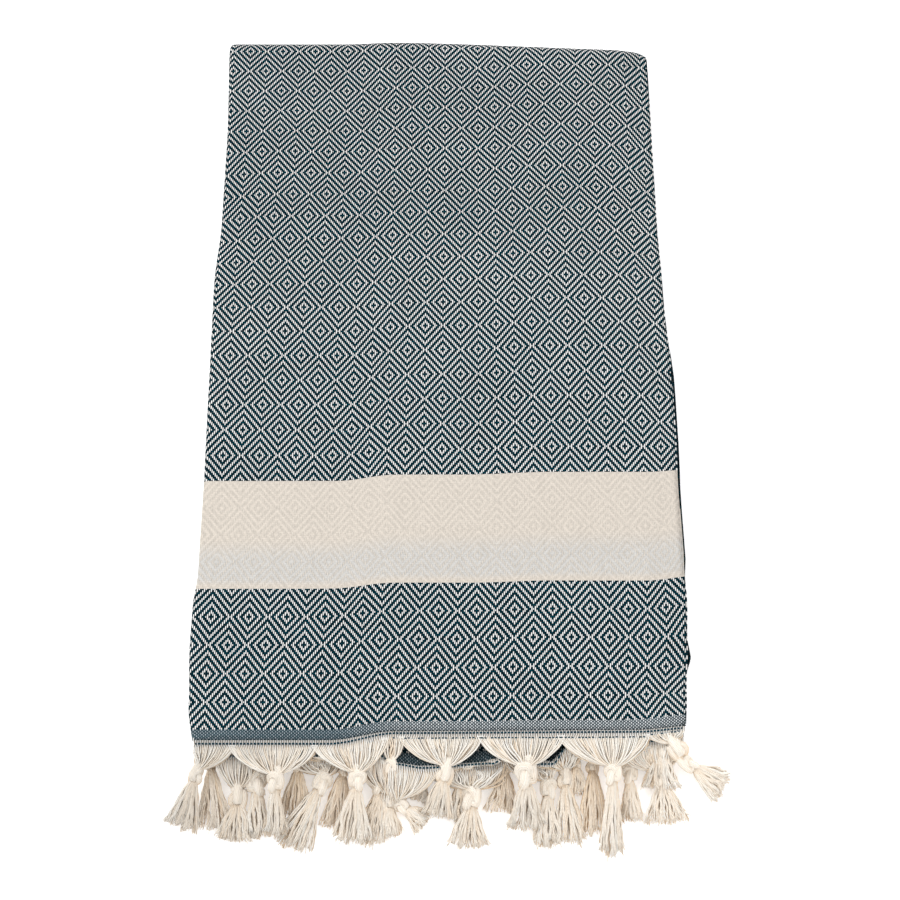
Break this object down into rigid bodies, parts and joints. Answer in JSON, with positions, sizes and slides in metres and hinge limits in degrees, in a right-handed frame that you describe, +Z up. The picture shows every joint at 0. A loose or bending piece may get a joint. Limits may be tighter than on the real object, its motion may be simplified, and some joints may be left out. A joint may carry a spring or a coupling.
{
  "type": "folded hammam towel",
  "caption": "Flat-woven hammam towel with a diamond twill pattern, a plain cream band and knotted fringes, folded in quarters each way to a flat rectangular pack.",
  "frame": {"origin": "under the middle of the folded towel with its fringes, on the surface it lies on", "axes": "+X across the folded towel to the right, +Y along it from the fringes to the far fold, +Z up"},
  "size_m": [0.2856, 0.4802, 0.0243],
  "materials": {
    "woven_cloth": "matte cotton, dark teal and cream diamond twill with a plain cream band",
    "fringe_yarn": "matte cream cotton yarn, knotted into tassels"
  },
  "bodies": {
    "root": {"cloth": "woven_cloth", "fringe_upper": "fringe_yarn", "fringe_lower": "fringe_yarn"}
  },
  "joints": []
}
